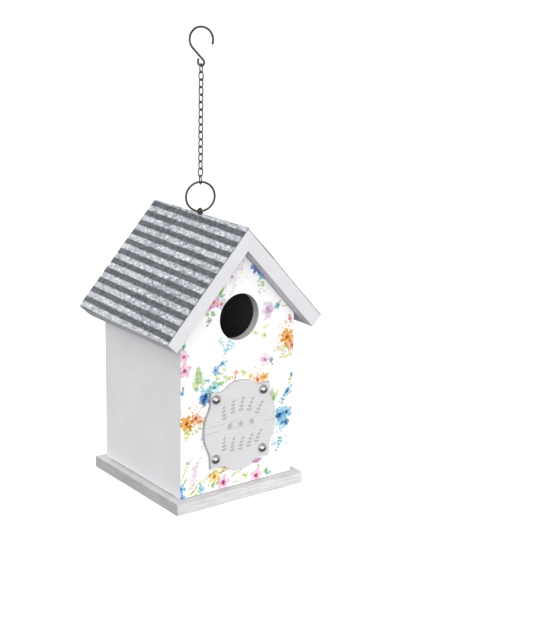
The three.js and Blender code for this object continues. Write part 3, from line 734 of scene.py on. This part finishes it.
def tube(points, radius, sides=14, closed=False, cut=False):
    """Round wire along a line that lies in the x-z plane, with domed or cut ends where it is open."""
    bm = bmesh.new()
    n = len(points)
    rings = []
    for k, point in enumerate(points):
        before = points[(k - 1) % n] if closed or k else point
        after = points[(k + 1) % n] if closed or k < n - 1 else point
        along = (after - before).normalized()
        rings.append((point, along, radius))
    if not closed:
        steps = [] if cut else [math.radians(30), math.radians(60)]
        dome = [(math.sin(a) * radius, math.cos(a) * radius) for a in steps]
        (head, head_along, _), (tail, tail_along, _) = rings[0], rings[-1]
        rings = ([(head - head_along * out, head_along, size) for out, size in reversed(dome)] + rings
                 + [(tail + tail_along * out, tail_along, size) for out, size in dome])
    loops = []
    for point, along, size in rings:
        side = along.cross(Vector((0, 1, 0)))
        loops.append([bm.verts.new(point + size * (math.cos(2 * math.pi * i / sides) * side
                                                   + math.sin(2 * math.pi * i / sides) * Vector((0, 1, 0))))
                      for i in range(sides)])
    pairs = list(zip(loops, loops[1:])) + ([(loops[-1], loops[0])] if closed else [])
    for a, b in pairs:
        bridge(bm, a, b)
    if not closed:
        for loop, (point, along, _), out in ((loops[0], rings[0], -1), (loops[-1], rings[-1], 1)):
            bridge(bm, loop, [bm.verts.new(point + along * out * radius * (0.05 if cut else 0.14))])
    return bm


def shifted(bm, x, y, z):
    """Moves a mesh within its frame."""
    bm.transform(Matrix.Translation((x, y, z)))
    return bm


def merge(first, *others):
    """Adds the other meshes to the first."""
    for other in others:
        scratch = bpy.data.meshes.new("scratch")
        other.to_mesh(scratch)
        other.free()
        first.from_mesh(scratch)
        bpy.data.meshes.remove(scratch)
    return first


def placed(name, data):
    """Puts an object into the scene."""
    made = bpy.data.objects.new(name, data)
    bpy.context.scene.collection.objects.link(made)
    return made


def piece(node, bm, finishes, body="house", place=TO_ROW, sharp=40):
    """Makes the visible piece that stands for a CAD node, sets its shading, hangs it on its body's empty and
    hides the CAD node.
    """
    name = node + "_look"
    bm.transform(place)
    bmesh.ops.recalc_face_normals(bm, faces=bm.faces)
    for face in bm.faces:
        face.smooth = True
    for edge in bm.edges:
        edge.smooth = not (len(edge.link_faces) == 2 and edge.calc_face_angle(0) > math.radians(sharp))
    mesh = bpy.data.meshes.new(name)
    bm.to_mesh(mesh)
    bm.free()
    for finish in finishes:
        mesh.materials.append(M[finish])
    made = placed(name, mesh)
    normals = made.modifiers.new("weighted normals", "WEIGHTED_NORMAL")
    normals.keep_sharp = True
    normals.weight = 80
    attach(made, body)
    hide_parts(node)


# ---------------- base, walls
def block(lo, hi):
    """A plain block that fills a box."""
    return prism([(lo.x, lo.z), (hi.x, lo.z), (hi.x, hi.z), (lo.x, hi.z)], lo.y, hi.y)


def roof_height(x, depth):
    """Height of a surface that lies that deep under the roof's top skin."""
    return RIDGE - depth / COS - abs(x) * TAN


WALL_INNER = BODY_HALF - WALL_THICK
WALL_TOP = 13.0  # depth of the walls' tops under the roof's top skin
WALL_FOOT, PRINT_FOOT, BACK_FOOT = 0.75, 0.3, 0.15  # gaps over the base board

base = ease(block(*house_box("base_board")), 0.7, 3, material=1)
piece("base_board", base, ["wash", "wash_edge"])

for name, side in (("left_wall", -1), ("right_wall", 1)):
    outline = [(side * BODY_HALF, WALL_FOOT), (side * BODY_HALF, roof_height(BODY_HALF, WALL_TOP)),
               (side * WALL_INNER, roof_height(WALL_INNER, WALL_TOP)), (side * WALL_INNER, WALL_FOOT)]
    wall = prism(outline, FRONT_BACK, BACK_FRONT)
    # the wall's inner face takes the inside's painted shade
    assign(wall, 1, lambda c, n, s=side: n.x * s < -0.9)
    piece(name, wall, ["paint", "inside"])

EAVE_Z = roof_height(BODY_HALF, WALL_TOP)
GABLE_TOP = [(BODY_HALF, EAVE_Z), (0.0, roof_height(0, WALL_TOP)), (-BODY_HALF, EAVE_Z)]
GABLE = [(-BODY_HALF, PRINT_FOOT), (BODY_HALF, PRINT_FOOT)] + GABLE_TOP

film = ease(pierced(GABLE, HOLE, HOLE_RADIUS, 0.0, PRINT_THICK), 0.19, 1, material=1)
piece("front_floral_print", film, ["print", "hole_rim"])

front = pierced(GABLE, HOLE, HOLE_RADIUS, PRINT_THICK, FRONT_BACK)
# the panel's back face takes the inside's painted shade
assign(front, 1, lambda c, n: n.y > 0.9)
assign(front, 2, lambda c, n: abs(n.y) < 0.3 and math.hypot(c.x - HOLE[0], c.z - HOLE[1]) < HOLE_RADIUS + 0.5)
piece("front_gable_panel", front, ["paint", "inside", "hole_rim"])

back_outline = [(-BODY_HALF, BACK_FOOT), (-DOORWAY_HALF, BACK_FOOT), (-DOORWAY_HALF, DOORWAY_TOP),
                (DOORWAY_HALF, DOORWAY_TOP), (DOORWAY_HALF, BACK_FOOT), (BODY_HALF, BACK_FOOT)] + GABLE_TOP
back = ease(prism(back_outline, BACK_FRONT, BODY_DEPTH), 0.35)
# the panel's inner face takes the inside's painted shade
assign(back, 1, lambda c, n: n.y < -0.9)
piece("back_gable_panel", back, ["paint", "inside"])


# ---------------- roof
FRONT_CORNER, BACK_CORNER = 0.9, 3.6  # rounding of the eaves' corners in plan
MITRE_GAP = 0.02  # half the gap between the boards at the ridge


def slope_point(side, u, y, depth):
    return Vector((side * (u * COS - depth * SIN), y, RIDGE - u * SIN - depth * COS))


def corner_plan(y0, y1):
    """Outline down the slope (u) and along the ridge (y) with the two eave corners rounded."""
    front = arc(SLOPE - FRONT_CORNER, y0 + FRONT_CORNER, FRONT_CORNER, -90, 0, 5)
    back = arc(SLOPE - BACK_CORNER, y1 - BACK_CORNER, BACK_CORNER, 0, 90, 8)
    corners = [(v.x, v.z) for v in front + back]
    return [(0.0, y0), (SLOPE * 0.5, y0)] + corners + [(SLOPE * 0.5, y1), (0.0, y1)]


for name, side in (("left_roof_board", -1), ("right_roof_board", 1)):
    skins = []
    for depth in (BOARD_TOP, BOARD_UNDER):
        ridge = (MITRE_GAP + depth * SIN) / COS
        skins.append([slope_point(side, u or ridge, y, depth) for u, y in corner_plan(ROOF_LO.y, ROOF_HI.y)])
    board = solid_between(*skins)
    ease(board, 0.4, 2, 50, 1, skip=lambda e: all(abs(v.co.x) < 0.3 for v in e.verts))
    # painted shade: faces turned downwards, the undersides and the eave ends, take the darker paint of the
    # overhang
    assign(board, 3, lambda c, n: n.z < -0.3)
    # over the inside of the house the underside takes the inside's near-black painted shade
    assign(board, 2, lambda c, n: n.z < -0.3 and abs(c.x) < BODY_HALF - 20 and FRONT_BACK < c.y < BACK_FRONT)
    piece(name, board, ["roof_paint", "paint_edge", "inside", "painted_shade_soffit"])

FOLD, FOLD_RISE = 0.6, 0.75  # where the fold starts from the ridge, and how far it bows up
SHEET_TOP = 0.15  # depth of the sheet's flat top skin, which leaves room for its ripples
RIPPLE = 0.1  # height of the broad ripples; the fine ones are half of it


def sheet_section(depth):
    """Across the roof from the left eave over a rounded fold to the right eave: (x, z, u)."""
    line = []
    flat = [SLOPE, SLOPE - 0.12, SLOPE - 0.35, SLOPE - 0.8]
    flat += [SLOPE - (SLOPE - FOLD) * i / 56 for i in range(1, 57)]
    for u in flat:
        p = slope_point(-1, u, 0, depth)
        line.append((p.x, p.z, -u))
    top = line[-1]
    for k in range(1, 8):
        t = 1 - k / 4
        line.append((top[0] * t, top[1] + (1 - t ** 2) * FOLD_RISE, top[2] * t))
    for u in reversed(flat):
        p = slope_point(1, u, 0, depth)
        line.append((p.x, p.z, u))
    return line


def corner_inset(u, radius):
    """How far an eave corner's rounding cuts in from the sheet's end at that distance down the slope."""
    past = max(0.0, abs(u) - (SLOPE - radius))
    return radius - math.sqrt(max(0.0, radius ** 2 - past ** 2))


def rumple(u, y):
    """How far the thin sheet stands off its board."""
    edge = min(1.0, max(0.0, 1 - (y - ROOF_LO.y) / 7.0))
    broad = math.sin(0.11 * u + 0.9) * math.sin(0.07 * y + 0.4)
    near = RIPPLE * (broad + 0.5 * math.sin(0.31 * u + 0.13 * y))
    lift = 0.30 * edge * max(0.0, math.sin(0.082 * (u - 8))) if 8 < u < 46 else 0.0
    return max(0.0, RIPPLE + near) + lift


columns = [0.0, 0.012, 0.03] + [0.06 + 0.88 * i / 30 for i in range(31)] + [0.97, 0.988, 1.0]
bm = bmesh.new()
skins = []
for depth in (SHEET_TOP, SHEET_TOP + SHEET):
    rows = []
    for x, z, u in sheet_section(depth):
        y0, y1 = ROOF_LO.y + corner_inset(u, FRONT_CORNER), ROOF_HI.y - corner_inset(u, BACK_CORNER)
        row = []
        for t in columns:
            y = y0 + (y1 - y0) * t
            off = rumple(u, y) * min(1.0, abs(u) / 6) - RIPPLE
            row.append(bm.verts.new((x + math.copysign(off * SIN, x), y, z + off * COS)))
        rows.append(row)
    skins.append(rows)
top, under = skins
nu, nv = len(top), len(columns)
for i in range(nu - 1):
    for j in range(nv - 1):
        bm.faces.new((top[i][j], top[i + 1][j], top[i + 1][j + 1], top[i][j + 1]))
        lower = bm.faces.new((under[i][j], under[i][j + 1], under[i + 1][j + 1], under[i + 1][j]))
        # the left half takes the dark cut edge, the right half the pale painted light
        lower.material_index = 1 if top[i][j].co.x < 0 else 2
rim = ([(i, 0) for i in range(nu)] + [(nu - 1, j) for j in range(1, nv)]
       + [(i, nv - 1) for i in range(nu - 2, -1, -1)] + [(0, j) for j in range(nv - 2, 0, -1)])
for (i, j), (k, l) in zip(rim, rim[1:] + rim[:1]):
    side = bm.faces.new((top[i][j], under[i][j], under[k][l], top[k][l]))
    # the same split for the sheet's edges: dark on the left, pale painted light on the right
    side.material_index = 1 if top[i][j].co.x < 0 else 2
piece("folded_roof_sheet", bm, ["bands", "sheet_edge", "lit_sheet_edge"])

# ---------------- plaque, tacks
# a quarter of the outline in two curves that meet in a point; each runs on past a middle line for its slope
SHOULDER = [(-6.0, 37.8), (0.0, 38.4), (6.0, 37.8), (11.0, 36.0), (14.5, 33.4), (19.0, 31.6), (24.0, 31.6),
            (29.2, 32.4)]
FLANK = [(29.2, 32.4), (29.4, 27.0), (29.6, 22.5), (31.2, 17.5), (33.6, 12.5), (35.2, 7.0), (35.8, 0.0),
         (35.2, -7.0)]
run = smooth_outline(SHOULDER, 5)[5:-1] + smooth_outline(FLANK, 5)[:-5]
outline = []
for sx, sz, flip in ((1, 1, False), (1, -1, True), (-1, -1, False), (-1, 1, True)):
    part = run[::-1] if flip else run
    outline += [(PLAQUE[0] + sx * x, PLAQUE[1] + sz * z) for x, z in part[:-1]]
plaque = ease(prism(outline, PLAQUE_FRONT, -0.3), 0.45, 2, 40, 1)
assign(plaque, 1, lambda c, n: abs(n.y) < 0.5)
piece("front_plaque", plaque, ["plaque", "plaque_edge"])

TACK_DOME = 3.2  # height of a tack's head
for corner in ("top_left", "top_right", "bottom_left", "bottom_right"):
    name = "plaque_tack_" + corner
    lo, hi = house_box(name)
    r = (hi.x - lo.x) / 2
    seat = PLAQUE_FRONT - 0.05
    angles = [math.radians(7.5 * i) for i in range(1, 12)]
    dome = [(0, -TACK_DOME)] + [(r * math.sin(a), -TACK_DOME * math.cos(a)) for a in angles]
    profile = dome + [(r, -0.12), (r * 0.99, 0.0), (r * 0.9, 0.02), (0.7, 0.05), (0.7, 8.0), (0, 9.3)]
    tack = shifted(lathe(profile, 48), (lo.x + hi.x) / 2, seat, (lo.z + hi.z) / 2)
    piece(name, tack, ["chrome"])

# ---------------- back door
door = ease(block(*house_box("cleanout_door")), 0.7, 3, material=1)
# the door's inner face takes the inside's painted shade
assign(door, 2, lambda c, n: n.y < -0.9)
piece("cleanout_door", door, ["paint", "paint_edge", "inside"], "door")

door_face = house_box("cleanout_door")[1].y
turned = [(0, -6.0), (2.0, -6.0), (2.0, 0.1), (3.3, 0.2), (3.35, 0.7), (2.9, 1.3), (2.75, 1.8), (3.0, 2.4),
          (3.6, 3.1), (4.3, 3.9), (4.8, 4.8), (5.0, 5.7), (4.9, 6.6), (4.45, 7.5), (3.6, 8.3), (2.4, 8.75),
          (1.2, 8.95), (0, 9.0)]
knob = shifted(lathe(turned, 44), 0, door_face, KNOB_Z)
piece("door_knob", knob, ["knob"], "door")

for name in ("left_door_stop", "right_door_stop"):
    # the door stops sit inside the house and take its painted shade
    piece(name, ease(block(*house_box(name)), 0.5), ["inside"])

BUTTON_HEAD = 3.97
BUTTON_LEAF = [(2.2, 3.3), (2.35, 4.6), (3.0, 6.6), (3.8, 8.9), (4.2, 11.6), (3.75, 14.2), (2.5, 16.6),
               (1.1, 18.5), (0.0, 19.4)]
for label, side in (("left", -1), ("right", 1)):
    lo, hi = house_box(label + "_turn_button")
    half = smooth_outline(BUTTON_LEAF, 4)
    head = [(v.x, v.z) for v in arc(0, 0, BUTTON_HEAD, 123.7, 416.3, 30)[1:-1]]
    outline = half + [(-x, z) for x, z in half[-2::-1]] + head
    plate = shifted(ease(prism(outline, lo.y, hi.y), 0.35, 3, 50), side * BUTTON_X, 0, BUTTON_Z)
    piece(label + "_turn_button", plate, ["iron"], label + "_button")

    lo, hi = house_box(label + "_button_screw")
    seat = hi.y - 2.0
    profile = [(0, lo.y), (1.4, lo.y + 1.8), (1.4, seat), (3.15, seat), (3.2, seat + 0.3), (3.0, seat + 0.9),
               (2.4, seat + 1.45), (1.3, seat + 1.85), (0, seat + 2.0)]
    screw = shifted(lathe(profile, 32), side * BUTTON_X, 0, BUTTON_Z)
    piece(label + "_button_screw", screw, ["iron"])

# ---------------- wire work
WIRE_SHARP = 80  # wire shades smooth up to this angle
joints = {j["child"]: j for j in frame["record"]["behaviour"]["joints"]}


def turn_of(body):
    """The turn about the chain of the wire that a body hangs in, read from its hinge."""
    axis = joints[body]["axis"]
    return math.atan2(axis[1], axis[0])


def hung(node, turn):
    """Places a wire shape drawn about its own middle, in millimetres."""
    lo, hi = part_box(node)
    middle = Matrix.Translation((0, 0, (lo.z + hi.z) / 2))
    return middle @ Matrix.Rotation(turn, 4, "Z") @ Matrix.Scale(MM, 4)


LINK_WIRE, LINK_HALF = 0.55, 2.05
link_lo, link_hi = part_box("chain_link_01")
link_reach = (link_hi.z - link_lo.z) / 2 / MM - LINK_WIRE
SLIT = 0.1
BLUNT = 2 / 2.4  # power that squares a link's oval off a little
LINK_PATH = [Vector((LINK_HALF, 0, SLIT)), Vector((LINK_HALF, 0, 0.5))]
for k in range(2, 47):
    c, s = math.cos(2 * math.pi * k / 48), math.sin(2 * math.pi * k / 48)
    LINK_PATH.append(Vector((math.copysign(LINK_HALF * abs(c) ** BLUNT, c), 0,
                             math.copysign(link_reach * abs(s) ** BLUNT, s))))
LINK_PATH += [Vector((LINK_HALF, 0, -0.5)), Vector((LINK_HALF, 0, -SLIT))]
for k in range(1, 17):
    below = f"link_{k + 1:02d}" if k < 16 else "ring"
    node = f"chain_link_{k:02d}"
    piece(node, tube(LINK_PATH, LINK_WIRE, 14, cut=True), ["chain"], f"link_{k:02d}",
          hung(node, turn_of(below)), WIRE_SHARP)

lo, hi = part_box("hanging_ring")
RING_WIRE = 0.9
ring_radius = (hi.z - lo.z) / 2 / MM - RING_WIRE
ring = tube(arc(0, 0, ring_radius, 0, 360 - 3.75, 95), RING_WIRE, 16, True)
ring_place = hung("hanging_ring", turn_of("house"))
piece("hanging_ring", ring, ["gunmetal"], "ring", ring_place, WIRE_SHARP)

HOOK_WIRE, HOOK_BEND, HOOK_EYE, HOOK_DROP = 0.9, 9.9, 2.6, 30.3
bend_z = HOOK_WIRE - HOOK_BEND
eye_z = HOOK_WIRE - HOOK_DROP + HOOK_EYE
leave = math.degrees(math.asin((HOOK_BEND + HOOK_EYE) / (bend_z - eye_z)))
bend = arc(0, bend_z, HOOK_BEND, -17, 180 + leave, 44)
eye = arc(0, eye_z, HOOK_EYE, leave, -176, 28)
cross = [bend[-1].lerp(eye[0], t / 6) for t in range(1, 6)]
tail = [Vector((-HOOK_EYE - 0.05, 0, eye_z + 1.2)), Vector((-HOOK_EYE + 0.15, 0, eye_z + 2.4))]
hook_place = Matrix.Rotation(turn_of("link_01"), 4, "Z") @ Matrix.Scale(MM, 4)
hook = tube(bend + cross + eye + tail, HOOK_WIRE, 18)
piece("hanging_hook", hook, ["gunmetal"], "hook", hook_place, WIRE_SHARP)

EYE_RADIUS, EYE_WIRE = 2.4, 0.9
lo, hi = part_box("screw_eye")
eye_centre = hi.z / MM - EYE_WIRE - EYE_RADIUS
loop = tube(arc(0, eye_centre, EYE_RADIUS, -84, 262, 40), EYE_WIRE, 16)
shank = lathe([(0, 0.0), (0.55, 0.8), (0.95, 12.5), (1.05, 13.4), (0.8, 14.0), (0, 14.1)], 24)
shank.transform(Matrix.Translation((0, 0, lo.z / MM)) @ Matrix.Rotation(math.pi / 2, 4, "X"))
collar = lathe([(0, -0.5), (2.4, -0.5), (2.5, -0.1), (1.9, 0.35), (1.0, 0.9), (0, 0.95)], 28)
collar.transform(Matrix.Translation((0, 0, (ORIGIN.z / MM + RIDGE))) @ Matrix.Rotation(math.pi / 2, 4, "X"))
eye_place = Matrix.Rotation(math.radians(EYE_TURN), 4, "Z") @ Matrix.Scale(MM, 4)
piece("screw_eye", merge(loop, shank, collar), ["gunmetal"], "house", eye_place, WIRE_SHARP)

# ---------------- stage
FLOOR_DROP = 0.62  # metres from the base's underside down to the floor
bm = bmesh.new()
bmesh.ops.create_circle(bm, cap_ends=True, radius=90, segments=64)
floor_mesh = bpy.data.meshes.new("floor")
bm.to_mesh(floor_mesh)
bm.free()
floor = placed("floor", floor_mesh)
floor.location = (0, 0, BASE_LO.z - FLOOR_DROP)
g = Graph("pale floor")
clouds = g.noise(g.add("TexCoord").outputs["Object"], 0.8, 2.0)
floor_mesh.materials.append(g.surface(g.mix(clouds, (0.955, 0.955, 0.95), (0.965, 0.965, 0.96)), 0.9))
floor.visible_diffuse = False
floor.visible_glossy = False


def sun(name, azimuth, elevation, strength, spread):
    """A soft sun that shines from azimuth (0 is the front, 90 the right) and elevation, in degrees."""
    light = bpy.data.lights.new(name, "SUN")
    light.energy = strength
    light.angle = math.radians(spread)
    lamp = placed(name, light)
    a, e = math.radians(azimuth), math.radians(elevation)
    towards = Vector((math.sin(a) * math.cos(e), -math.cos(a) * math.cos(e), math.sin(e)))
    lamp.rotation_mode = "QUATERNION"
    lamp.rotation_quaternion = towards.to_track_quat("Z", "Y")


sun("key", -5, 3, 1.5, 40)
sun("fill", -65, 30, 1.1, 70)
sun("back", 172, 4, 1.0, 40)

world = bpy.data.worlds.new("studio")
world.use_nodes = True
g = Graph("studio", world.node_tree)
g.tree.nodes.clear()
direction = g.split(g.add("TexCoord").outputs["Generated"])
glow = {"Color": (1.0, 1.0, 1.0), "Strength": g.span(direction[2], -0.34, -0.02, 0.22, 1.02)}
g.fed("OutputWorld", {0: g.fed("Background", glow).outputs[0]})
bpy.context.scene.world = world

camera = bpy.data.cameras.new("camera")
camera.sensor_width = 36.0
camera.lens = 79.34
camera.shift_x = 0.1664
camera.clip_end = 400
view = placed("camera", camera)
view.location = ORIGIN + Vector((-0.64326, -0.86651, 0.45395))
view.rotation_euler = (math.radians(73.83), 0, math.radians(-33.68))
bpy.context.scene.camera = view
bpy.context.scene.view_settings.view_transform = "Standard"
